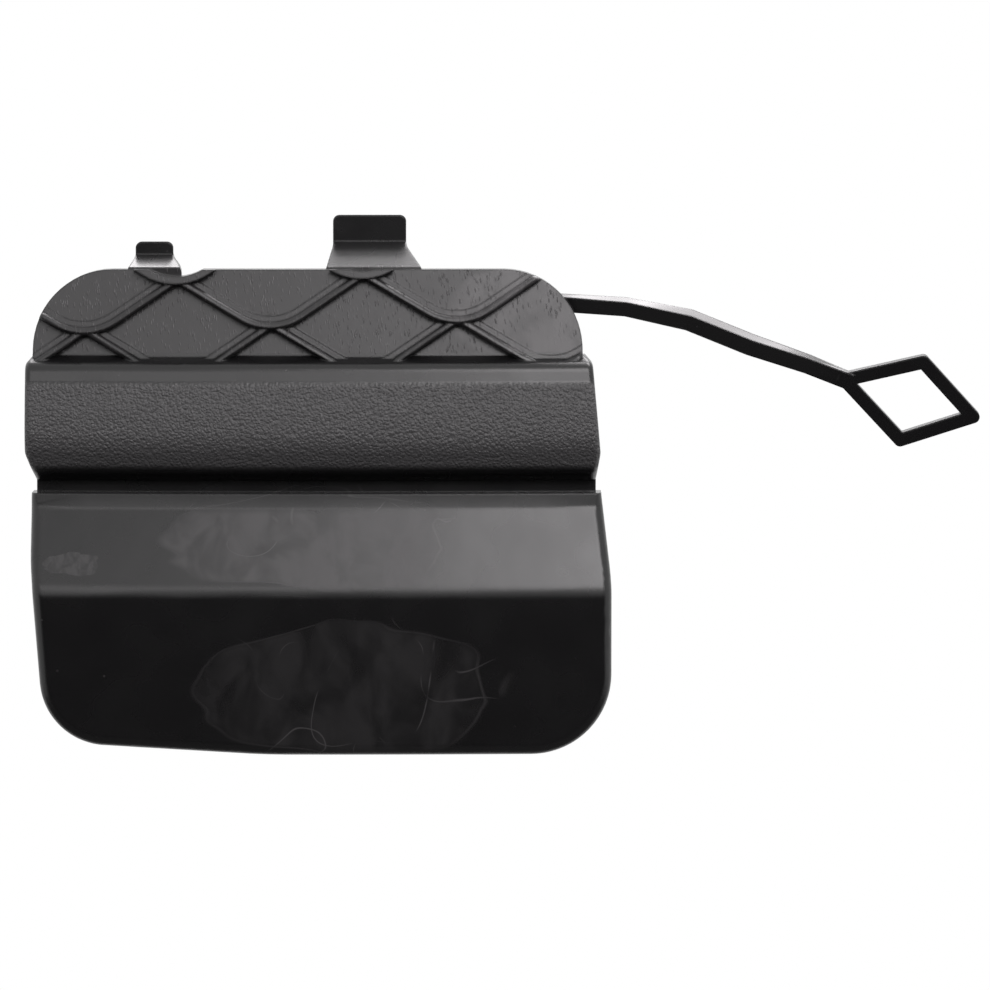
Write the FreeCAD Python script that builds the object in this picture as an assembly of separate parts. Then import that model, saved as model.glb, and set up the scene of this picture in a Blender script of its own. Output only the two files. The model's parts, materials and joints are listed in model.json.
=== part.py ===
import FreeCAD, Part
import math
import os

# Tow hook cover of a car bumper: one moulding in black plastic.
# Seen from the front, a leaning panel with overlapping scales is at the top, then a bulging
# grained band, a narrow groove, and a smooth face that comes forward to a soft crease and drops
# to the rounded foot. A rim turns back all round and ends in one plane, where the cover seats.
# Two tongues reach up behind the bumper's edge, two snap hooks hold the foot, and a twisted
# tether runs from the right-hand rim to an open ring.
#
# Frame, in millimetres: X to the right seen from the front, Y into the car, Z up.
# Y = 0 is the plane of the rim, and X = Z = 0 is the middle of the face.
# A depth is a distance in front of the rim's plane.

Vector = FreeCAD.Vector

# Skin and rim
skin_wall = 2.0
rim_wall = 1.8
plan_radius = 520.0              # the skin is gently curved, seen from above

# Panel with the scales
panel_left = -44.7
panel_right = 41.3
panel_top = 37.5
panel_foot = 24.1
panel_corner_radius = 12.4
panel_foot_depth = 7.6
panel_lean = 14.0                # degrees

# Grained band, under a ledge at the panel's foot
band_left = -45.8
band_right_top = 42.9
band_right = 44.1
band_waist = 0.22                # below this share the band's ends draw in to the groove
band_waist_radius = 3.0
band_foot = 4.7
band_foot_step = 0.8
band_profile = (
    # share of the way from the band's foot to its top, step in front of the panel's foot, radius
    (0.93, 3.1, 2.2),
    (0.56, 4.85, 18.0),
    (0.31, 5.45, 7.0),
    (0.085, 3.2, 3.5),
)
band_shoulder_radius = 1.2
band_edge_radius = 1.1

# Groove between the band and the face
groove_left = -44.2
groove_right = 43.4
groove_depth = 6.6

# Smooth face
face_left = -45.0
face_top_right = 44.3
face_right = 45.8
face_foot_left = -42.8
face_bend_left = -8.0            # height where the left side starts to draw in
face_bend_right = -11.0          # height where the right side reaches its full width
face_side_radius = 40.0
face_foot = -38.0
face_foot_rise = 1.9             # the foot climbs this much to the left
face_foot_bend = -8.0            # from this place on
face_foot_bend_radius = 100.0
face_corner_left_radius = 10.5
face_corner_right_radius = 12.5
face_top_draw = 0.6
face_top_radius = 6.0
lip_height = 2.6
lip_depth = 8.9
facet_height = 0.5
facet_depth = 9.2
facet_radius = 3.0
crease_height = -12.3
crease_depth = 14.6
crease_radius = 6.0
face_foot_depth = 13.6
face_edge_radius = 1.8

# Scales: rows of ribs with a rounded trough and straight arms, counted from the middle row
low_row = -1
top_row = 1
scale_pitch = 29.2
scale_row_spacing = 7.4
scale_trough_radius = 9.6
scale_arm_angle = 32.0           # degrees
scale_first_trough = (-36.5, 27.4)
scale_climb = 1.7                # degrees that the rows climb to the right
scale_step = 0.35                # each row lies this much in front of the row below it
scale_rib_width = 2.0
scale_rib_height = 1.2
scale_rib_slope = 0.35           # its top edges slope off by this much, or by a share of its wall
scale_rib_slope_share = 0.3
scale_ledge_width = 0.85         # a low ledge runs along the inner side of each rib
scale_ledge_height = 0.45

# Tongues: their rise is a height above the panel's top
tongue_wall = 1.1
tongue_root_depth = 3.4
tongue_lift = 0.3                # from the panel's top to the bend at the root
tongue_knee = 0.5                # share of the rise where the slope meets the upright part
tongue_stand_off = 3.0           # the upright part stands this far behind the rim's plane
tongue_corner_radius = 1.0
tongue_flare_height = 0.42       # share of the rise
tongue_flare_radius = 2.0
small_tongue_left = -29.0
small_tongue_right = -23.1
small_tongue_rise = 4.1
small_tongue_flare_left = 1.0
small_tongue_flare_right = 1.6
large_tongue_left = 2.1
large_tongue_right = 13.6
large_tongue_rise = 8.3
large_tongue_flare_left = 1.0
large_tongue_flare_right = 2.6

# Snap hooks behind the foot
hook_count = 2
hook_spacing = 46.0
hook_width = 9.0
hook_wall = 1.8
hook_gap = 2.6                   # from the foot's rim to the hook's leg
hook_reach = 7.2                 # behind the rim's plane
hook_catch = 2.8                 # behind the rim's plane
hook_barb = 1.6
hook_tip = 0.8

# Stiffening ribs behind the smooth face
stiffener_count = 3
stiffener_spacing = 23.0
stiffener_wall = 1.2
stiffener_height = 2.2

# Tether: each station has a place, a width and a roll in degrees
tether_thickness = 1.8
tether_stations = (
    (Vector(37.5, -1.6, 32.2), 2.5, 14.0),
    (Vector(48.1, -1.0, 31.5), 2.5, 24.0),
    (Vector(58.1, 0.2, 29.4), 3.0, 36.0),
    (Vector(67.7, 0.9, 25.5), 3.0, 34.0),
    (Vector(76.8, 1.2, 22.4), 2.6, 20.0),
    (Vector(83.7, 1.2, 19.6), 2.6, 8.0),
)

# Ring at the tether's end, by the corners of its hole
ring_hole = ((84.6, 19.4), (94.6, 21.7), (101.0, 14.6), (91.8, 11.6))
ring_bar = 2.1
ring_thickness = 1.6
ring_corner_radius = 1.0
ring_place = 1.2                 # its middle is this far behind the rim's plane
ring_tilt = 8.0                  # degrees that its top leans forward

# Reach of the tools that shape the skin and of pieces that end inside it
tool_depth = 30.0
pass_through = 6.0
sink = 0.6
smallest_run = 0.001
steepest_front = 0.9


def front_point(across, height):
    """A point of the front view, in the rim's plane."""
    return Vector(across, 0, height)


def side_point(depth, height):
    """A point of the side view."""
    return Vector(0, -depth, height)


def rounded_face(corners, place):
    """A face of straight runs joined by tangent arcs. Its corners are (u, v, radius)."""
    points = [place(u, v) for u, v, _ in corners]
    runs = []
    for i, (_, _, radius) in enumerate(corners):
        here = points[i]
        back = points[i - 1] - here
        ahead = points[(i + 1) % len(points)] - here
        half = back.getAngle(ahead) / 2
        reach = radius / math.tan(half)
        if reach < smallest_run:
            runs.append((here, None, here))
            continue
        back.normalize()
        ahead.normalize()
        middle = here + (back + ahead).normalize() * (radius / math.sin(half) - radius)
        runs.append((here + back * reach, middle, here + ahead * reach))
    edges = []
    for i, (start, middle, end) in enumerate(runs):
        if middle is not None:
            edges.append(Part.Arc(start, middle, end).toShape())
        next_start = runs[(i + 1) % len(runs)][0]
        if end.distanceToPoint(next_start) > smallest_run:
            edges.append(Part.makeLine(end, next_start))
    return Part.Face(Part.Wire(edges))


def front_prism(face, depth_from, depth_to):
    """A face of the front view, extruded from one depth to another."""
    moved = face.translated(Vector(0, -depth_from, 0))
    return moved.extrude(Vector(0, depth_from - depth_to, 0))


def swept(face):
    """A face of the side view, swept across the part round the far centre of its curve."""
    centre = Vector(0, plan_radius, 0)
    widest = max(-panel_left, -band_left, -face_left, panel_right, band_right, face_right)
    half_turn = math.degrees(math.asin((widest + pass_through) / plan_radius))
    start = face.rotated(centre, Vector(0, 0, 1), -half_turn)
    return start.revolve(centre, Vector(0, 0, 1), 2 * half_turn)


def in_front(corners):
    """A side view section closed well behind the rim's plane."""
    return corners + [(-2 * pass_through, corners[-1][1], 0), (-2 * pass_through, corners[0][1], 0)]


def edges_round_front(solid, outline_face):
    """The edges where the skin's front meets the side wall that follows an outline."""
    found = []
    for edge in solid.Edges:
        middle = edge.valueAt((edge.FirstParameter + edge.LastParameter) / 2)
        shadow = Part.Vertex(front_point(middle.x, middle.z))
        on_outline = outline_face.OuterWire.distToShape(shadow)[0] < smallest_run
        along_depth = abs(edge.tangentAt(edge.FirstParameter).y) > steepest_front
        if on_outline and not along_depth and middle.y < -smallest_run:
            found.append(edge)
    return found


def zone(section, outline, edge_radius):
    """One zone of the skin as (outer solid, hollow behind it)."""
    section_face = rounded_face(in_front(section), side_point)
    outline_face = rounded_face(outline, front_point)
    outer = swept(section_face).common(front_prism(outline_face, tool_depth, 0))
    if edge_radius > 0:
        outer = outer.makeFillet(edge_radius, edges_round_front(outer, outline_face))
    inner_section = section_face.makeOffset2D(-skin_wall)
    inner_outline = outline_face.makeOffset2D(-rim_wall)
    hollow = swept(inner_section).common(front_prism(inner_outline, tool_depth, -pass_through))
    return outer, hollow


def panel_depth(height):
    """Depth of the leaning panel's front at a height."""
    return panel_foot_depth - (height - panel_foot) * math.tan(math.radians(panel_lean))


def panel_section(proud):
    """Side view of the panel, with its front moved out square to itself."""
    top = panel_top + pass_through
    low = panel_foot - pass_through
    out = proud / math.cos(math.radians(panel_lean))
    return [(panel_depth(top) + out, top, 0), (panel_depth(low) + out, low, 0)]


def panel_outline():
    """Front view of the panel."""
    low = panel_foot - pass_through
    return [
        (panel_left, low, 0),
        (panel_right, low, 0),
        (panel_right, panel_top, panel_corner_radius),
        (panel_left, panel_top, panel_corner_radius),
    ]


def panel_zone():
    """The leaning panel behind the scales."""
    return zone(panel_section(0), panel_outline(), 0)


def band_height(share):
    """A height on the band, from the share of the way from its foot to its top."""
    return band_foot + share * (panel_foot - band_foot)


def band_zone():
    """The grained band: a ledge under the panel, a bulge and its underside."""
    section = [(panel_foot_depth, panel_foot, 0)]
    for share, step, radius in band_profile:
        section.append((panel_foot_depth + step, band_height(share), radius))
    section.append((panel_foot_depth + band_foot_step, band_foot, 0))
    shoulder = band_height(band_profile[0][0])
    waist = band_height(band_waist)
    ledge_slope = (panel_left - band_left) / (panel_foot - shoulder)
    outline = [
        (groove_left, band_foot, 0),
        (groove_left, band_foot - pass_through, 0),
        (groove_right, band_foot - pass_through, 0),
        (groove_right, band_foot, 0),
        (band_right, waist, band_waist_radius),
        (band_right_top, shoulder, band_shoulder_radius),
        (panel_right - pass_through * ledge_slope, panel_foot + pass_through, 0),
        (panel_left + pass_through * ledge_slope, panel_foot + pass_through, 0),
        (band_left, shoulder, band_shoulder_radius),
        (band_left, waist, band_waist_radius),
    ]
    return zone(section, outline, band_edge_radius)


def groove_zone():
    """The recessed strip between the band and the face."""
    top = band_foot + pass_through
    low = lip_height - pass_through
    section = [(groove_depth, top, 0), (groove_depth, low, 0)]
    outline = [
        (groove_left, low, 0),
        (groove_right, low, 0),
        (groove_right, top, 0),
        (groove_left, top, 0),
    ]
    return zone(section, outline, 0)


def face_section(with_lip):
    """Side view of the smooth face, with the lip cut into its top or left plain."""
    top = lip_height + pass_through
    head = [(facet_depth, top, 0), (facet_depth, facet_height, facet_radius)]
    if with_lip:
        head = [
            (lip_depth, lip_height, 0),
            (facet_depth, facet_height, 0),
        ]
    return head + [
        (crease_depth, crease_height, crease_radius),
        (face_foot_depth, face_foot - pass_through, 0),
    ]


def face_zone():
    """The smooth face: a lip, a facet that comes forward, a soft crease and the foot."""
    outline = [
        (face_left + face_top_draw, lip_height + pass_through, 0),
        (face_left, lip_height - face_top_draw, face_top_radius),
        (face_left, face_bend_left, face_side_radius),
        (face_foot_left, face_foot + face_foot_rise, face_corner_left_radius),
        (face_foot_bend, face_foot, face_foot_bend_radius),
        (face_right, face_foot, face_corner_right_radius),
        (face_right, face_bend_right, face_side_radius),
        (face_top_right, lip_height - face_top_draw, face_top_radius),
        (face_top_right - face_top_draw, lip_height + pass_through, 0),
    ]
    plain, _ = zone(face_section(False), outline, face_edge_radius)
    lipped, hollow = zone(face_section(True), outline, 0)
    return plain.common(lipped), hollow


def turned_with_rows(shape):
    """The scales' rows climb to the right round the first trough."""
    pivot = front_point(*scale_first_trough)
    return shape.rotated(pivot, Vector(0, 1, 0), -scale_climb)


def field_above(row, inset):
    """The front view above a row of troughs, its edge moved in; row 1 is above row 0."""
    slope = math.radians(scale_arm_angle)
    radius = scale_trough_radius - inset
    foot = Vector(math.sin(slope), 0, -math.cos(slope)) * radius
    run = scale_pitch / 2 - foot.x
    crest = Vector(scale_pitch / 2, 0, foot.z + run * math.tan(slope))
    first = scale_first_trough[0] - scale_pitch - abs(row) * scale_pitch / 2
    height = scale_first_trough[1] + row * scale_row_spacing + scale_trough_radius
    count = math.ceil((panel_right - first) / scale_pitch) + 1
    edges = []
    for i in range(count):
        centre = front_point(first + i * scale_pitch, height)
        left = centre + Vector(-foot.x, 0, foot.z)
        right = centre + foot
        edges.append(Part.makeLine(centre + Vector(-crest.x, 0, crest.z), left))
        edges.append(Part.Arc(left, centre - Vector(0, 0, radius), right).toShape())
        edges.append(Part.makeLine(right, centre + crest))
    start = edges[0].Vertexes[0].Point
    end = edges[-1].Vertexes[-1].Point
    lift = Vector(0, 0, panel_top)
    edges.append(Part.makeLine(end, end + lift))
    edges.append(Part.makeLine(end + lift, start + lift))
    edges.append(Part.makeLine(start + lift, start))
    return turned_with_rows(Part.Face(Part.Wire(edges)))


def over_panel(fields, proud):
    """The part of a front view prism that lies on the panel, up to a height above it."""
    slab = swept(rounded_face(in_front(panel_section(proud)), side_point))
    outline = front_prism(rounded_face(panel_outline(), front_point), tool_depth, sink)
    return fields.common(slab).common(outline)


def sloped_off(rib, proud):
    """A rib with its top edges sloped off, apart from its cut ends at the panel's top and foot."""
    top = swept(rounded_face(in_front(panel_section(proud)), side_point))
    low = panel_foot - pass_through + smallest_run
    high = panel_top - smallest_run
    crest = []
    for edge in rib.Edges:
        middle = edge.valueAt((edge.FirstParameter + edge.LastParameter) / 2)
        on_top = top.distToShape(Part.Vertex(middle))[0] < smallest_run
        if on_top and low < middle.z < high and edge.Length > scale_ledge_width:
            crest.append(edge)
    wall = scale_rib_width - scale_ledge_width
    return rib.makeChamfer(min(scale_rib_slope, wall * scale_rib_slope_share), crest)


def scale_row(row, level):
    """One row of scales: its raised field, the low ledge and the rib round each trough."""
    floor = level * scale_step
    field = front_prism(field_above(row, 0), tool_depth, 0)
    inside_ledge = front_prism(field_above(row, scale_rib_width), tool_depth, 0)
    inside_rib = front_prism(
        field_above(row, scale_rib_width - scale_ledge_width), tool_depth, 0)
    proud = floor + scale_rib_height
    ribs = over_panel(field.cut(inside_rib), proud).Solids
    if row < top_row:
        ribs = [sloped_off(rib, proud) for rib in ribs]
    return ribs + [
        over_panel(field, floor),
        over_panel(field.cut(inside_ledge), floor + scale_ledge_height),
    ]


def tongue(left, right, rise, flare_left, flare_right):
    """A tongue from the top rim: it slopes back and up, then stands upright."""
    low = panel_top - rim_wall
    top = panel_top + rise
    flare_top = panel_top + rise * tongue_flare_height
    path = [
        side_point(tongue_root_depth, low),
        side_point(tongue_root_depth, panel_top + tongue_lift),
        side_point(-tongue_stand_off, panel_top + rise * tongue_knee),
        side_point(-tongue_stand_off, top),
    ]
    strip = Part.makePolygon(path).makeOffset2D(tongue_wall, fill=True, openResult=True)
    strip.translate(Vector(left - pass_through, 0, 0))
    strip = strip.extrude(Vector(right - left + 2 * pass_through, 0, 0))
    outline = [
        (left - flare_left, low - pass_through, 0),
        (right + flare_right, low - pass_through, 0),
        (right + flare_right, panel_top, tongue_flare_radius),
        (right, flare_top, tongue_flare_radius),
        (right, top, tongue_corner_radius),
        (left, top, tongue_corner_radius),
        (left, flare_top, tongue_flare_radius),
        (left - flare_left, panel_top, tongue_flare_radius),
    ]
    face = rounded_face(outline, front_point)
    return strip.common(front_prism(face, pass_through, -2 * pass_through))


def snap_hook(across):
    """A hook behind the foot: a leg from the skin and a barb that catches under the bumper."""
    low = face_foot + rim_wall + hook_gap
    section = [
        (face_foot_depth - skin_wall / 2, low, 0),
        (-hook_catch, low, 0),
        (-hook_catch, low - hook_barb, 0),
        (-hook_reach, low + hook_wall - hook_tip, 0),
        (-hook_reach, low + hook_wall, 0),
        (face_foot_depth - skin_wall / 2, low + hook_wall, 0),
    ]
    face = rounded_face(section, side_point)
    face.translate(Vector(across - hook_width / 2, 0, 0))
    return face.extrude(Vector(hook_width, 0, 0))


def stiffener(across, hollow):
    """An upright rib behind the smooth face, from the groove down to the foot."""
    slab = Part.makeBox(
        stiffener_wall, tool_depth, lip_height - face_foot,
        Vector(across - stiffener_wall / 2, -tool_depth, face_foot))
    return slab.common(hollow).cut(hollow.translated(Vector(0, stiffener_height, 0)))


def tether():
    """The twisted strap, as a loft through rectangles."""
    places = [place for place, _, _ in tether_stations]
    sections = []
    for i, (place, width, roll) in enumerate(tether_stations):
        along = places[min(i + 1, len(places) - 1)] - places[max(i - 1, 0)]
        along.normalize()
        ahead = Vector(0, -1, 0) - along * along.dot(Vector(0, -1, 0))
        ahead.normalize()
        up = along.cross(ahead)
        up = up if up.z > 0 else -up
        turn = math.radians(roll)
        thick = (ahead * math.cos(turn) - up * math.sin(turn)) * (tether_thickness / 2)
        wide = (up * math.cos(turn) + ahead * math.sin(turn)) * (width / 2)
        corners = [place + wide + thick, place + wide - thick,
                   place - wide - thick, place - wide + thick]
        sections.append(Part.makePolygon(corners + corners[:1]))
    return Part.makeLoft(sections, True, True)


def ring():
    """The open ring at the tether's end, its top leaning forward."""
    corners = [(across, height, 0) for across, height in ring_hole]
    hole = rounded_face(corners, front_point)
    outer = hole.makeOffset2D(ring_bar, join=2)
    front = ring_thickness / 2 - ring_place
    back = -ring_thickness / 2 - ring_place
    plate = front_prism(outer, front, back)
    posts = [edge for edge in plate.Edges if abs(edge.tangentAt(edge.FirstParameter).y) > steepest_front]
    plate = plate.makeFillet(ring_corner_radius, posts)
    plate = plate.cut(front_prism(hole, front + sink, back - sink))
    pivot = Vector(ring_hole[0][0], ring_place, ring_hole[0][1])
    return plate.rotated(pivot, Vector(1, 0, 0), ring_tilt)


def spread(count, spacing):
    """Places across the part, evenly spaced round its middle."""
    return [(i - (count - 1) / 2) * spacing for i in range(count)]


def cover():
    """The whole moulding as one solid."""
    zones = [panel_zone(), band_zone(), groove_zone(), face_zone()]
    outer = zones[0][0].multiFuse([solid for solid, _ in zones[1:]])
    hollow = zones[0][1].multiFuse([solid for _, solid in zones[1:]])
    rows = []
    for row in range(low_row, top_row + 1):
        rows += scale_row(row, row - low_row + 1)
    notch = front_prism(
        field_above(top_row, scale_rib_width - scale_ledge_width), tool_depth, -pass_through)
    skin = outer.multiFuse(rows).cut(notch).cut(hollow)
    fittings = [
        tongue(small_tongue_left, small_tongue_right, small_tongue_rise,
               small_tongue_flare_left, small_tongue_flare_right),
        tongue(large_tongue_left, large_tongue_right, large_tongue_rise,
               large_tongue_flare_left, large_tongue_flare_right),
        tether(),
        ring(),
    ]
    fittings += [snap_hook(across) for across in spread(hook_count, hook_spacing)]
    fittings += [stiffener(across, hollow) for across in spread(stiffener_count, stiffener_spacing)]
    return skin.multiFuse(fittings).removeSplitter()


os.makedirs("parts", exist_ok=True)
moulding = cover()
moulding.exportStep("parts/tow_hook_cover.step")
print("solids", len(moulding.Solids), "valid", moulding.isValid(), "volume", moulding.Volume)
print("box", moulding.BoundBox)
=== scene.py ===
import json
import math

import bpy
from bpy.props import FloatProperty, FloatVectorProperty, PointerProperty
from bpy.types import Operator, Panel, PropertyGroup
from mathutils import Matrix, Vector

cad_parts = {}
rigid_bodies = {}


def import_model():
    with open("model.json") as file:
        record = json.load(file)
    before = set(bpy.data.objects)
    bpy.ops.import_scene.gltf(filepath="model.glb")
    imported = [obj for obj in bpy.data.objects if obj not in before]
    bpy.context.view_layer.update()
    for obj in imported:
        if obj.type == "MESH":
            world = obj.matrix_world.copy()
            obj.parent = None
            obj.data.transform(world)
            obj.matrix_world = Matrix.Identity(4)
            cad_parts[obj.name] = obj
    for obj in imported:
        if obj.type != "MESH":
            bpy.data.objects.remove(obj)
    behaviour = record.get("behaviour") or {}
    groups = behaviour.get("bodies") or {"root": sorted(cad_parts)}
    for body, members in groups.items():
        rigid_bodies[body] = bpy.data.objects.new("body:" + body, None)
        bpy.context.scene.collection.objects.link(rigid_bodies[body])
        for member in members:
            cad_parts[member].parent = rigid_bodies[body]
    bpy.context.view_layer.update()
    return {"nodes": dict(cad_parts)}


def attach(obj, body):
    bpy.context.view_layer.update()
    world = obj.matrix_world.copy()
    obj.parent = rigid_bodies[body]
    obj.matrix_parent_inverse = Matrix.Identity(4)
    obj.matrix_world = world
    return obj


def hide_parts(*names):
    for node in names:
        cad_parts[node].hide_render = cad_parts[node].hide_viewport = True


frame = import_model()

# Tow hook cover of a car bumper, dressed for its studio picture: one moulding in black plastic
# with a grained band, smooth zones, and the haze that a protective film has left on its face.

bl_info = {
    "name": "Tow Hook Cover",
    "version": (1, 0, 0),
    "blender": (4, 5, 0),
    "location": "3D View > Sidebar > Tow Hook Cover",
    "description": "Dresses a bumper tow hook cover in moulded black plastic and lights it",
    "category": "Object",
}

COVER_NODE = "tow_hook_cover"
MILLIMETRE = 0.001

# Zones of the front in millimetres: lowest height, highest height, and width of the soft edge
BAND_BLEND = 1.2
PANEL_ZONE = (24.3, 39.0, 0.5)
FACET_ZONE = (-14.0, 0.6, 1.5)
WHOLE_FRONT = (-60.0, 60.0, 1.0)

# Patches that the film has left, and a painted sheen on the panel's right end: centre and reach,
# across and up, in millimetres, then how far the outline wanders from an oval, and how close
# together the wrinkle lines are
LOWER_OVAL = ((4.5, -27.8), (24.0, 11.0), 0.45, 80.0)
FACET_WISPS = ((-1.0, -4.5), (23.0, 8.0), 0.7, 75.0)
LEFT_RUB = ((-38.3, -8.2), (4.6, 1.8), 0.8, 60.0)
# Painted sheen: the haze's colour lightens the panel's right end in place of its bright reflection
PANEL_PAINTED_SHEEN = ((37.0, 31.0), (17.0, 9.0), 0.3, 60.0)

# How strongly each mark, and the painted sheen on the panel, takes the haze's colour
OVAL_STRENGTH = 0.16
WISPS_STRENGTH = 0.38
RUB_STRENGTH = 0.3
LINES_STRENGTH = 0.65
SPECKS_STRENGTH = 0.5
# Over the whole panel: partly real haze, partly painted sheen that lightens its tone
PANEL_HAZE_AND_SHEEN = 0.17
# Extra painted sheen at the panel's right end
PAINTED_SHEEN_STRENGTH = 0.55

# Finish of the plastic, with strokes in millimetres and scales per metre
PLASTIC_IOR = 1.5
STROKE_WIDTH = 0.16
STROKE_LENGTH = 0.8
SPECKS_SCALE = 420.0
UNEVEN_SCALE = 130.0
UNEVEN_ROUGHNESS = 0.1
HAZE_ROUGHNESS = 0.3
PANEL_ROUGHNESS = 0.06
RIPPLE_SCALE = 260.0
RIPPLE_DEPTH = 0.12
STROKE_DEPTH = 0.3

# The studio, in metres
WHITE = (1.0, 1.0, 1.0, 1.0)
FLOOR_GREY = 0.8
DARK_WIDTH = 3.0
MAT_LIFT = 0.01
LAMP_COLOUR = (1.0, 0.967, 0.984)
LAMP_AIM = (0.0, 0.0, 0.0)

# Soft lamps: name, place, width and height
LAMPS = (
    ("key_lamp", (0.39, -0.94, 0.77), 0.62, 0.68),
    ("fill_lamp", (-0.27, -1.1, 0.54), 1.0, 0.22),
    ("back_lamp", (0.0, 0.86, 0.9), 0.7, 0.7),
    ("rim_lamp", (0.44, 0.5, 1.08), 0.62, 0.62),
)


class CoverSettings(PropertyGroup):
    """Sizes and colours of the moulding."""

    merge_distance: FloatProperty(
        name="Merge Distance", description="Corners closer than this become one",
        default=0.002 * MILLIMETRE, unit="LENGTH", precision=6)
    smooth_angle: FloatProperty(
        name="Smooth Angle", description="Edges flatter than this are shaded smooth",
        default=math.radians(50.0), subtype="ANGLE")
    edge_round: FloatProperty(
        name="Edge Round", description="Radius of the soft edge that the mould leaves",
        default=0.42 * MILLIMETRE, unit="LENGTH", precision=6)
    plastic_colour: FloatVectorProperty(
        name="Plastic", description="Colour of the plastic",
        default=(0.0088, 0.0085, 0.009), subtype="COLOR", min=0.0, max=1.0)
    grain_colour: FloatVectorProperty(
        name="Grain Colour", description="Colour of the grained band, which scatters more light",
        default=(0.076, 0.074, 0.076), subtype="COLOR", min=0.0, max=1.0)
    # The haze's colour also paints the sheen on the panel, in place of its reflection
    haze_and_sheen_colour: FloatVectorProperty(
        name="Haze", description="Colour of the haze and of fine scratches",
        default=(0.105, 0.1, 0.103), subtype="COLOR", min=0.0, max=1.0)
    smooth_roughness: FloatProperty(
        name="Smooth Roughness", description="Roughness of the smooth zones",
        default=0.27, subtype="FACTOR", min=0.0, max=1.0)
    grain_roughness: FloatProperty(
        name="Grain Roughness", description="Roughness of the grained band",
        default=0.43, subtype="FACTOR", min=0.0, max=1.0)
    grain_size: FloatProperty(
        name="Grain Size", description="Width of one wrinkle of the grain",
        default=0.5 * MILLIMETRE, unit="LENGTH", precision=6)
    grain_depth: FloatProperty(
        name="Grain Depth", description="Depth of the grain",
        default=0.19 * MILLIMETRE, unit="LENGTH", precision=6)
    grain_low: FloatProperty(
        name="Grain Low", description="Height of the grain's lower limit on the band",
        default=6.2 * MILLIMETRE, unit="LENGTH", precision=6)
    grain_high: FloatProperty(
        name="Grain High", description="Height of the grain's upper limit on the band",
        default=20.4 * MILLIMETRE, unit="LENGTH", precision=6)


class StudioSettings(PropertyGroup):
    """Camera, lamps and floor."""

    camera_distance: FloatProperty(
        name="Camera Distance", description="From the camera to the middle of the view",
        default=1.1, unit="LENGTH")
    camera_elevation: FloatProperty(
        name="Camera Elevation", description="How far the camera looks down",
        default=math.radians(4.0), subtype="ANGLE")
    view_width: FloatProperty(
        name="View Width", description="Width of the picture at the middle of the view",
        default=154.5 * MILLIMETRE, unit="LENGTH", precision=5)
    view_middle: FloatVectorProperty(
        name="View Middle", description="The point at the picture's middle",
        default=(27.6 * MILLIMETRE, -10.0 * MILLIMETRE, 2.5 * MILLIMETRE),
        subtype="XYZ", unit="LENGTH")
    room_light: FloatProperty(
        name="Room Light", description="Strength of the light from all round",
        default=0.3, min=0.0)
    floor_height: FloatProperty(
        name="Floor Height", description="Height of the pale floor",
        default=-0.6, unit="LENGTH")
    floor_size: FloatProperty(
        name="Floor Size", description="Width and depth of the pale floor",
        default=6.0, unit="LENGTH")
    floor_end: FloatProperty(
        name="Floor End", description="How far the floor reaches behind the cover",
        default=1.4, unit="LENGTH")
    floor_glow: FloatProperty(
        name="Floor Glow", description="Share of plain white in the floor that the camera sees",
        default=0.7, subtype="FACTOR", min=0.0, max=1.0)
    key_power: FloatProperty(
        name="Key Power", description="Power of the soft lamp at the upper right",
        default=7.8, unit="POWER")
    fill_power: FloatProperty(
        name="Fill Power", description="Power of the wide soft lamp beside the camera",
        default=1.25, unit="POWER")
    back_power: FloatProperty(
        name="Back Power", description="Power of the lamp above and behind",
        default=8.5, unit="POWER")
    rim_power: FloatProperty(
        name="Rim Power", description="Power of the lamp that lights the tether's upper side",
        default=10.5, unit="POWER")


def select_only(piece):
    """Makes one object the only selected one, because operators act on all that is selected."""
    for other in bpy.context.view_layer.objects:
        other.select_set(False)
    piece.select_set(True)
    bpy.context.view_layer.objects.active = piece


# Shader nodes

def cleared_tree(owner):
    """The node tree of a material or a world, emptied."""
    owner.use_nodes = True
    owner.node_tree.nodes.clear()
    return owner.node_tree


def new_group(name, inputs, outputs):
    """An empty node group with its sockets, and its input and output nodes."""
    group = bpy.data.node_groups.new(name, "ShaderNodeTree")
    for label, kind, default in inputs:
        socket = group.interface.new_socket(name=label, in_out="INPUT", socket_type=kind)
        socket.default_value = default
    for label, kind in outputs:
        group.interface.new_socket(name=label, in_out="OUTPUT", socket_type=kind)
    return group, group.nodes.new("NodeGroupInput"), group.nodes.new("NodeGroupOutput")


def fill_inputs(tree, node, values):
    """Links or sets each named input of a node."""
    for name, value in values.items():
        if isinstance(value, bpy.types.NodeSocket):
            tree.links.new(value, node.inputs[name])
        else:
            node.inputs[name].default_value = value


def put(tree, kind, values, **settings):
    """A node of one kind, with its settings, and each input linked or set."""
    node = tree.nodes.new(kind)
    for name, value in settings.items():
        setattr(node, name, value)
    fill_inputs(tree, node, values)
    return node


def use_group(tree, group, values):
    """The outputs of a placed node group with its own values."""
    node = tree.nodes.new("ShaderNodeGroup")
    node.node_tree = group
    fill_inputs(tree, node, values)
    return node.outputs


def compute(tree, operation, first, second=0.0, third=0.0, clamp=False):
    """The result of one Math node."""
    node = put(tree, "ShaderNodeMath", {0: first, 1: second, 2: third},
               operation=operation, use_clamp=clamp)
    return node.outputs[0]


def smooth_range(tree, value, low, high, to_low=0.0, to_high=1.0):
    """A value eased from one range to another, held at both ends."""
    limits = {"From Min": low, "From Max": high, "To Min": to_low, "To Max": to_high}
    node = put(tree, "ShaderNodeMapRange", {"Value": value, **limits},
               interpolation_type="SMOOTHSTEP")
    return node.outputs["Result"]


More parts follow.
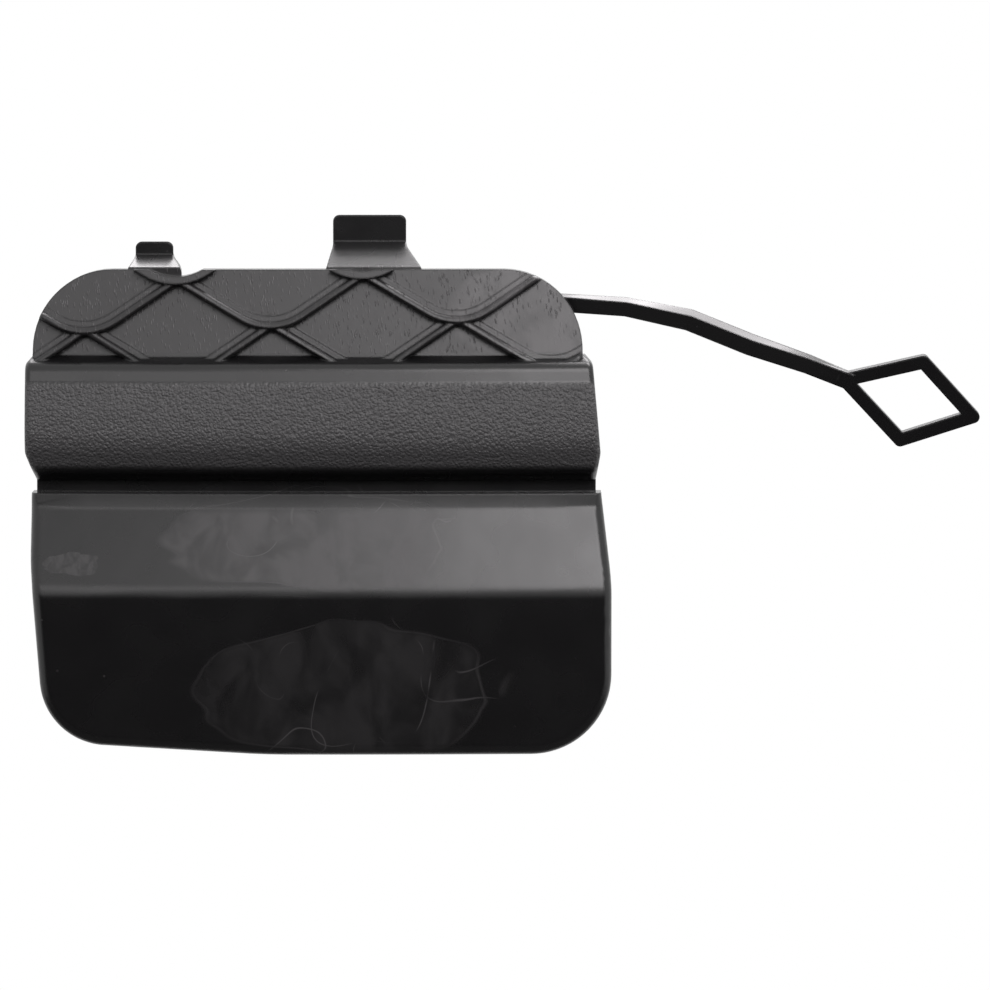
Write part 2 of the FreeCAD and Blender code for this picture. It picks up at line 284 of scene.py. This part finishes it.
def near_level(tree, value, level, width):
    """A thin line where a value crosses a level."""
    away = compute(tree, "ABSOLUTE", compute(tree, "SUBTRACT", value, level))
    return smooth_range(tree, away, 0.0, width, 1.0, 0.0)


def turned(tree, vector, turn, scale=(1.0, 1.0, 1.0)):
    """Coordinates turned in the front view, and scaled."""
    node = put(tree, "ShaderNodeMapping",
               {"Vector": vector, "Rotation": (0.0, turn, 0.0), "Scale": scale})
    return node.outputs["Vector"]


def noise(tree, vector, scale, detail=2.0, roughness=0.5, distortion=0.0):
    """A noise value round one half."""
    node = put(tree, "ShaderNodeTexNoise",
               {"Vector": vector, "Scale": scale, "Detail": detail, "Roughness": roughness,
                "Distortion": distortion})
    return node.outputs["Fac"]


def mixed(tree, factor, first, second):
    """A colour mixed from two."""
    node = put(tree, "ShaderNodeMix", {0: factor, 6: first, 7: second}, data_type="RGBA")
    return node.outputs[2]


def zone_group():
    """Mask of the heights between two limits, on what faces forward, ahead of the tether."""
    group, given, result = new_group(
        "Front Zone",
        (("Vector", "NodeSocketVector", (0.0, 0.0, 0.0)),
         ("Normal", "NodeSocketVector", (0.0, -1.0, 0.0)),
         ("Low", "NodeSocketFloat", 0.0),
         ("High", "NodeSocketFloat", 0.01),
         ("Blend", "NodeSocketFloat", 0.001),
         ("Behind", "NodeSocketFloat", -0.0028)),
        (("Mask", "NodeSocketFloat"),))
    depth_blend = 0.0006
    full_front, side_on = -0.3, -0.1
    place = put(group, "ShaderNodeSeparateXYZ", {0: given.outputs["Vector"]})
    height = place.outputs["Z"]
    full_ahead = compute(group, "SUBTRACT", given.outputs["Behind"], depth_blend)
    ahead = smooth_range(group, place.outputs["Y"], full_ahead, given.outputs["Behind"], 1.0, 0.0)
    facing = put(group, "ShaderNodeSeparateXYZ", {0: given.outputs["Normal"]}).outputs["Y"]
    low_end = compute(group, "ADD", given.outputs["Low"], given.outputs["Blend"])
    high_start = compute(group, "SUBTRACT", given.outputs["High"], given.outputs["Blend"])
    above = smooth_range(group, height, given.outputs["Low"], low_end)
    below = smooth_range(group, height, high_start, given.outputs["High"], 1.0, 0.0)
    front = smooth_range(group, facing, full_front, side_on, 1.0, 0.0)
    between = compute(group, "MULTIPLY", compute(group, "MULTIPLY", above, below), ahead)
    group.links.new(compute(group, "MULTIPLY", between, front), result.inputs["Mask"])
    return group


def grain_group():
    """Height of a leather-like moulded grain: short wrinkles between small pillows."""
    group, given, result = new_group(
        "Moulded Grain",
        (("Vector", "NodeSocketVector", (0.0, 0.0, 0.0)), ("Size", "NodeSocketFloat", 0.0006)),
        (("Height", "NodeSocketFloat"),))
    vector = given.outputs["Vector"]
    warp_pitch, fine_pitch, fine_depth = 0.5, 2.2, 0.7
    per_metre = compute(group, "DIVIDE", 1.0, given.outputs["Size"])
    bent = noise(group, vector, compute(group, "MULTIPLY", per_metre, warp_pitch), 2.0)
    shift = put(group, "ShaderNodeVectorMath", {0: vector, "Scale": per_metre}, operation="SCALE")
    warp = put(group, "ShaderNodeCombineXYZ", {"X": bent, "Y": bent, "Z": bent}).outputs[0]
    place = put(group, "ShaderNodeVectorMath", {0: shift.outputs[0], 1: warp},
                operation="ADD").outputs[0]
    cells = put(group, "ShaderNodeTexVoronoi",
                {"Vector": place, "Scale": 1.0, "Randomness": 1.0}).outputs["Distance"]
    fine = noise(group, vector, compute(group, "MULTIPLY", per_metre, fine_pitch), 1.0, 0.6)
    pillows = compute(group, "SUBTRACT", 1.0, cells)
    wrinkles = compute(group, "MULTIPLY", fine, fine_depth)
    group.links.new(compute(group, "ADD", pillows, wrinkles), result.inputs["Height"])
    return group


def film_group():
    """Haze inside an oval that a film has left, with its bright rim and thin wrinkle lines, and
    also the painted sheen on the panel.
    """
    group, given, result = new_group(
        "Film Haze And Painted Sheen",
        (("Vector", "NodeSocketVector", (0.0, 0.0, 0.0)),
         ("Centre", "NodeSocketVector", (0.0, 0.0, 0.0)),
         ("Reach", "NodeSocketVector", (0.01, 1.0, 0.01)),
         ("Wander", "NodeSocketFloat", 0.3),
         ("Line Scale", "NodeSocketFloat", 60.0)),
        (("Haze", "NodeSocketFloat"), ("Lines", "NodeSocketFloat")))
    vector = given.outputs["Vector"]
    place = put(group, "ShaderNodeVectorMath", {0: vector, 1: given.outputs["Centre"]},
                operation="SUBTRACT").outputs[0]
    local = put(group, "ShaderNodeVectorMath", {0: place, 1: given.outputs["Reach"]},
                operation="DIVIDE").outputs[0]
    across = put(group, "ShaderNodeSeparateXYZ", {0: local})
    flat = put(group, "ShaderNodeCombineXYZ",
               {"X": across.outputs["X"], "Z": across.outputs["Z"]}).outputs[0]
    radius = put(group, "ShaderNodeVectorMath", {0: flat}, operation="LENGTH").outputs["Value"]

    # The outline wanders in and out of the oval, where the radius is one
    drift = compute(group, "SUBTRACT", noise(group, flat, 1.6, 1.0, 0.5, 0.3), 0.5)
    edge = compute(group, "MULTIPLY_ADD", drift, given.outputs["Wander"], radius)
    inside = smooth_range(group, edge, 0.9, 1.0, 1.0, 0.0)
    rim = near_level(group, edge, 0.955, 0.025)
    slant = turned(group, flat, 0.75, (3.2, 1.0, 0.9))
    cloud = smooth_range(group, noise(group, slant, 1.3, 3.0, 0.5, 0.5), 0.34, 0.64, 0.2, 1.0)
    group.links.new(compute(group, "MULTIPLY", inside, cloud), result.inputs["Haze"])

    # Wrinkle lines follow the levels of two noises, one coarser, and break off in places
    coarse_share, rim_strength = 0.45, 0.5
    bent = noise(group, vector, given.outputs["Line Scale"], 0.0, 0.4, 0.3)
    coarse_scale = compute(group, "MULTIPLY", given.outputs["Line Scale"], coarse_share)
    crossing = noise(group, vector, coarse_scale, 0.0, 0.5, 0.5)
    creases = compute(group, "MAXIMUM", near_level(group, bent, 0.54, 0.008),
                      near_level(group, crossing, 0.47, 0.0045))
    broken = smooth_range(group, noise(group, flat, 1.9, 1.0), 0.42, 0.62)
    line = compute(group, "MULTIPLY", creases, broken)
    both = compute(group, "MAXIMUM", line, compute(group, "MULTIPLY", rim, rim_strength))
    near = smooth_range(group, radius, 0.8, 1.15, 1.0, 0.0)
    group.links.new(compute(group, "MULTIPLY", both, near), result.inputs["Lines"])
    return group


def strokes_group():
    """Short upright strokes that a polishing stone has left in the mould."""
    group, given, result = new_group(
        "Polish Strokes",
        (("Vector", "NodeSocketVector", (0.0, 0.0, 0.0)), ("Width", "NodeSocketFloat", 0.0002),
         ("Length", "NodeSocketFloat", 0.001)),
        (("Mask", "NodeSocketFloat"),))
    vector = given.outputs["Vector"]
    slant, cell_scale, patch_scale = 0.1, 0.62, 75.0
    parts = put(group, "ShaderNodeSeparateXYZ", {0: turned(group, vector, slant)})
    cell = put(group, "ShaderNodeCombineXYZ", {
        "X": compute(group, "DIVIDE", parts.outputs["X"], given.outputs["Width"]),
        "Z": compute(group, "DIVIDE", parts.outputs["Z"], given.outputs["Length"])}).outputs[0]
    cells = put(group, "ShaderNodeTexVoronoi",
                {"Vector": cell, "Scale": cell_scale, "Randomness": 1.0})
    mark = smooth_range(group, cells.outputs["Distance"], 0.1, 0.42, 1.0, 0.0)
    pick = put(group, "ShaderNodeSeparateColor", {0: cells.outputs["Color"]}).outputs[0]
    strength = smooth_range(group, pick, 0.15, 0.9)
    patch = smooth_range(group, noise(group, vector, patch_scale, 2.0), 0.36, 0.56, 0.12, 1.0)
    marked = compute(group, "MULTIPLY", mark, strength)
    group.links.new(compute(group, "MULTIPLY", marked, patch), result.inputs["Mask"])
    return group


def specks_group():
    """Small dust specks, sparse and of uneven size."""
    group, given, result = new_group(
        "Dust Specks",
        (("Vector", "NodeSocketVector", (0.0, 0.0, 0.0)),
         ("Scale", "NodeSocketFloat", SPECKS_SCALE)),
        (("Mask", "NodeSocketFloat"),))
    cells = put(group, "ShaderNodeTexVoronoi", {
        "Vector": given.outputs["Vector"], "Scale": given.outputs["Scale"], "Randomness": 1.0})
    dot = smooth_range(group, cells.outputs["Distance"], 0.03, 0.09, 1.0, 0.0)
    pick = put(group, "ShaderNodeSeparateColor", {0: cells.outputs["Color"]}).outputs[0]
    few = smooth_range(group, pick, 0.82, 0.96)
    group.links.new(compute(group, "MULTIPLY", dot, few), result.inputs["Mask"])
    return group


def front_zone(tree, group, coordinates, low, high, blend):
    """The mask of one zone of the front."""
    return use_group(tree, group, {
        "Vector": coordinates["Object"], "Normal": coordinates["Normal"],
        "Low": low, "High": high, "Blend": blend})["Mask"]


def film_patch(tree, group, vector, centre, reach, wander, line_scale):
    """The haze and the lines of one patch that the film has left."""
    return use_group(tree, group, {
        "Vector": vector,
        "Centre": (centre[0] * MILLIMETRE, 0.0, centre[1] * MILLIMETRE),
        "Reach": (reach[0] * MILLIMETRE, 1.0, reach[1] * MILLIMETRE),
        "Wander": wander, "Line Scale": line_scale})


def plastic_material(settings):
    """Black moulded plastic: grained on the band, smooth elsewhere, hazed on the face, with painted
    sheen on the panel.
    """
    material = bpy.data.materials.new("Moulded Black Plastic")
    tree = cleared_tree(material)
    output = tree.nodes.new("ShaderNodeOutputMaterial")
    shader = tree.nodes.new("ShaderNodeBsdfPrincipled")
    shader.inputs["IOR"].default_value = PLASTIC_IOR
    tree.links.new(shader.outputs[0], output.inputs[0])
    coordinates = tree.nodes.new("ShaderNodeTexCoord").outputs
    vector = coordinates["Object"]

    zone = zone_group()
    band = front_zone(tree, zone, coordinates, settings.grain_low, settings.grain_high,
                      BAND_BLEND * MILLIMETRE)
    panel, facet, outside = (
        front_zone(tree, zone, coordinates, *(limit * MILLIMETRE for limit in limits))
        for limits in (PANEL_ZONE, FACET_ZONE, WHOLE_FRONT))
    film = film_group()
    oval, wisps, rub, painted_sheen = (
        film_patch(tree, film, vector, *patch)
        for patch in (LOWER_OVAL, FACET_WISPS, LEFT_RUB, PANEL_PAINTED_SHEEN))
    strokes = use_group(tree, strokes_group(), {
        "Vector": vector, "Width": STROKE_WIDTH * MILLIMETRE,
        "Length": STROKE_LENGTH * MILLIMETRE})["Mask"]
    specks = use_group(tree, specks_group(), {"Vector": vector, "Scale": SPECKS_SCALE})["Mask"]
    grain = use_group(tree, grain_group(), {
        "Vector": vector, "Size": settings.grain_size})["Height"]

    # Colour
    streaks = compute(tree, "MULTIPLY", strokes, panel)
    on_facet = compute(tree, "MULTIPLY", wisps["Haze"], facet)
    haze = compute(tree, "MAXIMUM", compute(tree, "MULTIPLY", oval["Haze"], OVAL_STRENGTH),
                   compute(tree, "MULTIPLY", on_facet, WISPS_STRENGTH))
    haze = compute(tree, "MAXIMUM", haze, compute(tree, "MULTIPLY", rub["Haze"], RUB_STRENGTH))
    haze = compute(tree, "MULTIPLY", haze, outside)
    lines = compute(tree, "MAXIMUM", oval["Lines"], wisps["Lines"])
    lines = compute(tree, "MULTIPLY", lines, outside)
    # The marks take the haze's colour; on the panel they are partly painted sheen
    marks_and_sheen = compute(tree, "MAXIMUM", haze, compute(tree, "MULTIPLY", lines, LINES_STRENGTH))
    # The panel's haze, partly real and partly painted sheen, with more painted sheen at its right
    # end
    panel_haze_and_sheen = compute(tree, "MULTIPLY_ADD", painted_sheen["Haze"], PAINTED_SHEEN_STRENGTH, PANEL_HAZE_AND_SHEEN)
    marks_and_sheen = compute(tree, "MAXIMUM", marks_and_sheen, compute(tree, "MULTIPLY", panel, panel_haze_and_sheen))
    marks_and_sheen = compute(tree, "MAXIMUM", marks_and_sheen, streaks)
    marks_and_sheen = compute(tree, "MAXIMUM", marks_and_sheen, compute(tree, "MULTIPLY", specks, SPECKS_STRENGTH))
    ground = mixed(tree, band, (*settings.plastic_colour, 1.0), (*settings.grain_colour, 1.0))
    colour = mixed(tree, marks_and_sheen, ground, (*settings.haze_and_sheen_colour, 1.0))
    tree.links.new(colour, shader.inputs["Base Color"])

    # Roughness
    uneven = noise(tree, vector, UNEVEN_SCALE, 1.0, 0.5)
    smooth = compute(tree, "MULTIPLY_ADD", uneven, UNEVEN_ROUGHNESS,
                     settings.smooth_roughness - UNEVEN_ROUGHNESS / 2)
    smooth = compute(tree, "MULTIPLY_ADD", haze, HAZE_ROUGHNESS, smooth)
    smooth = compute(tree, "MULTIPLY_ADD", panel, PANEL_ROUGHNESS, smooth)
    rough_gap = compute(tree, "SUBTRACT", settings.grain_roughness, smooth)
    roughness = compute(tree, "MULTIPLY_ADD", rough_gap, band, smooth, clamp=True)
    tree.links.new(roughness, shader.inputs["Roughness"])

    # Bump
    ripple = compute(tree, "MULTIPLY", noise(tree, vector, RIPPLE_SCALE, 1.0, 0.5), RIPPLE_DEPTH)
    ripple = compute(tree, "MULTIPLY_ADD", streaks, STROKE_DEPTH, ripple)
    height = compute(tree, "MULTIPLY_ADD", grain, band, ripple)
    soft_edge = put(tree, "ShaderNodeBevel", {"Radius": settings.edge_round}, samples=4)
    bump = put(tree, "ShaderNodeBump", {
        "Height": height, "Distance": settings.grain_depth, "Strength": 1.0,
        "Normal": soft_edge.outputs["Normal"]})
    tree.links.new(bump.outputs["Normal"], shader.inputs["Normal"])
    return material


class COVER_OT_moulding(Operator):
    """Copy the CAD moulding, join its facets, smooth its shading and give it its plastic"""

    bl_idname = "tow_cover.moulding"
    bl_label = "Moulding"

    def execute(self, context):
        settings = context.scene.tow_cover
        select_only(frame["nodes"][COVER_NODE])
        bpy.ops.object.duplicate()
        cover = context.view_layer.objects.active
        cover.name = "cover_moulding"
        cover.data.name = "cover_moulding"
        for key in list(cover.keys()):
            if key.startswith("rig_"):
                del cover[key]
        cover.parent = None
        select_only(cover)
        bpy.ops.object.mode_set(mode="EDIT")
        bpy.ops.mesh.select_all(action="SELECT")
        bpy.ops.mesh.customdata_custom_splitnormals_clear()
        bpy.ops.mesh.remove_doubles(threshold=settings.merge_distance)
        bpy.ops.object.mode_set(mode="OBJECT")
        bpy.ops.object.shade_smooth_by_angle(angle=settings.smooth_angle)
        weights = cover.modifiers.new("Flat Faces First", "WEIGHTED_NORMAL")
        weights.keep_sharp = True
        bpy.ops.object.modifier_apply(modifier=weights.name)
        cover.data.materials.clear()
        cover.data.materials.append(plastic_material(settings))
        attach(cover, "root")
        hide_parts(COVER_NODE)
        return {"FINISHED"}


def area_lamp(name, place, width, height, power):
    """A soft rectangular lamp that points at the cover and that the camera doesn't see."""
    bpy.ops.object.light_add(type="AREA", location=place)
    lamp = bpy.context.view_layer.objects.active
    lamp.name = name
    lamp.data.shape = "RECTANGLE"
    lamp.data.size = width
    lamp.data.size_y = height
    lamp.data.energy = power
    lamp.data.color = LAMP_COLOUR
    lamp.rotation_euler = (Vector(LAMP_AIM) - Vector(place)).to_track_quat("-Z", "Y").to_euler()
    lamp.visible_camera = False


def seen_rays(tree):
    """One for rays from the camera and for those that a gloss or a glass sends on."""
    path = tree.nodes.new("ShaderNodeLightPath").outputs
    seen = compute(tree, "MAXIMUM", path["Is Camera Ray"], path["Is Glossy Ray"])
    return compute(tree, "MAXIMUM", seen, path["Is Transmission Ray"])


def matt_material(name, grey, glow):
    """A plain matt grey, with a share of white for the rays that meet the camera or a gloss."""
    material = bpy.data.materials.new(name)
    tree = cleared_tree(material)
    output = tree.nodes.new("ShaderNodeOutputMaterial")
    plain = put(tree, "ShaderNodeBsdfDiffuse", {"Color": (grey, grey, grey, 1.0)})
    if not glow:
        tree.links.new(plain.outputs[0], output.inputs[0])
        return material
    white = put(tree, "ShaderNodeEmission", {"Color": WHITE, "Strength": 1.0})
    share = compute(tree, "MULTIPLY", seen_rays(tree), glow)
    both = put(tree, "ShaderNodeMixShader", {0: share, 1: plain.outputs[0], 2: white.outputs[0]})
    tree.links.new(both.outputs[0], output.inputs[0])
    return material


def sheet(name, width, depth, turn, place, grey, glow=0.0):
    """A flat sheet of the studio: made level, turned about X, then moved to its place."""
    bpy.ops.mesh.primitive_plane_add(size=1.0)
    piece = bpy.context.view_layer.objects.active
    piece.name = name
    bpy.ops.object.mode_set(mode="EDIT")
    bpy.ops.mesh.select_all(action="SELECT")
    bpy.ops.transform.resize(value=(width, depth, 1.0))
    bpy.ops.transform.rotate(value=turn, orient_axis="X", center_override=(0.0, 0.0, 0.0))
    bpy.ops.transform.translate(value=place)
    bpy.ops.object.mode_set(mode="OBJECT")
    piece.data.materials.append(matt_material(name, grey, glow))
    return piece


def white_room(room_light):
    """A world that is white to the camera and in reflections, and lights the cover softly."""
    world = bpy.data.worlds.new("White Room")
    tree = cleared_tree(world)
    lift = compute(tree, "MULTIPLY_ADD", seen_rays(tree), 1.0 - room_light, room_light)
    background = put(tree, "ShaderNodeBackground", {"Color": WHITE, "Strength": lift})
    output = tree.nodes.new("ShaderNodeOutputWorld")
    tree.links.new(background.outputs[0], output.inputs[0])
    return world


class COVER_OT_studio(Operator):
    """Set up the white room, the floor, the dark card and mat, the lamps and the camera"""

    bl_idname = "tow_cover.studio"
    bl_label = "Studio"

    def execute(self, context):
        settings = context.scene.tow_studio
        scene = context.scene
        middle = Vector(settings.view_middle)
        elevation = settings.camera_elevation
        back = Vector((0.0, -math.cos(elevation), math.sin(elevation)))
        bpy.ops.object.camera_add(location=middle + back * settings.camera_distance)
        camera = context.view_layer.objects.active
        camera.rotation_euler = (-back).to_track_quat("-Z", "Y").to_euler()
        camera.data.lens = camera.data.sensor_width * settings.camera_distance / settings.view_width
        scene.camera = camera
        scene.world = white_room(settings.room_light)

        floor_middle = settings.floor_end - settings.floor_size / 2
        sheet("pale_floor", settings.floor_size, settings.floor_size, 0.0,
              (0.0, floor_middle, settings.floor_height), FLOOR_GREY, settings.floor_glow)
        # Two dark sheets darken what the lower faces mirror, and some of the light from below
        mat_height = settings.floor_height + MAT_LIFT
        for name, place, turn, depth, grey in (
                ("dark_card", (0.0, -1.3, -0.22), -math.pi / 2, 0.76, 0.03),
                ("dark_mat", (0.0, -0.5, mat_height), 0.0, 1.6, 0.16)):
            dark = sheet(name, DARK_WIDTH, depth, turn, place, grey)
            dark.visible_camera = False
            dark.visible_shadow = False

        powers = (settings.key_power, settings.fill_power, settings.back_power, settings.rim_power)
        for (name, place, width, height), power in zip(LAMPS, powers):
            area_lamp(name, place, width, height, power)
        scene.view_settings.view_transform = "Standard"
        return {"FINISHED"}


class COVER_PT_sidebar(Panel):
    """Lists the steps that dress and light the cover, and their settings"""

    bl_idname = "COVER_PT_sidebar"
    bl_label = "Tow Hook Cover"
    bl_space_type = "VIEW_3D"
    bl_region_type = "UI"
    bl_category = "Tow Hook Cover"

    def draw(self, context):
        for operator in (COVER_OT_moulding, COVER_OT_studio):
            self.layout.operator(operator.bl_idname)
        for settings in (context.scene.tow_cover, context.scene.tow_studio):
            for name in settings.__annotations__:
                self.layout.prop(settings, name)


CLASSES = (CoverSettings, StudioSettings, COVER_OT_moulding, COVER_OT_studio, COVER_PT_sidebar)


def register():
    for each in CLASSES:
        bpy.utils.register_class(each)
    bpy.types.Scene.tow_cover = PointerProperty(type=CoverSettings)
    bpy.types.Scene.tow_studio = PointerProperty(type=StudioSettings)


def unregister():
    del bpy.types.Scene.tow_studio
    del bpy.types.Scene.tow_cover
    for each in reversed(CLASSES):
        bpy.utils.unregister_class(each)


def main():
    register()
    bpy.ops.tow_cover.moulding()
    bpy.ops.tow_cover.studio()


if __name__ == "__main__":
    main()
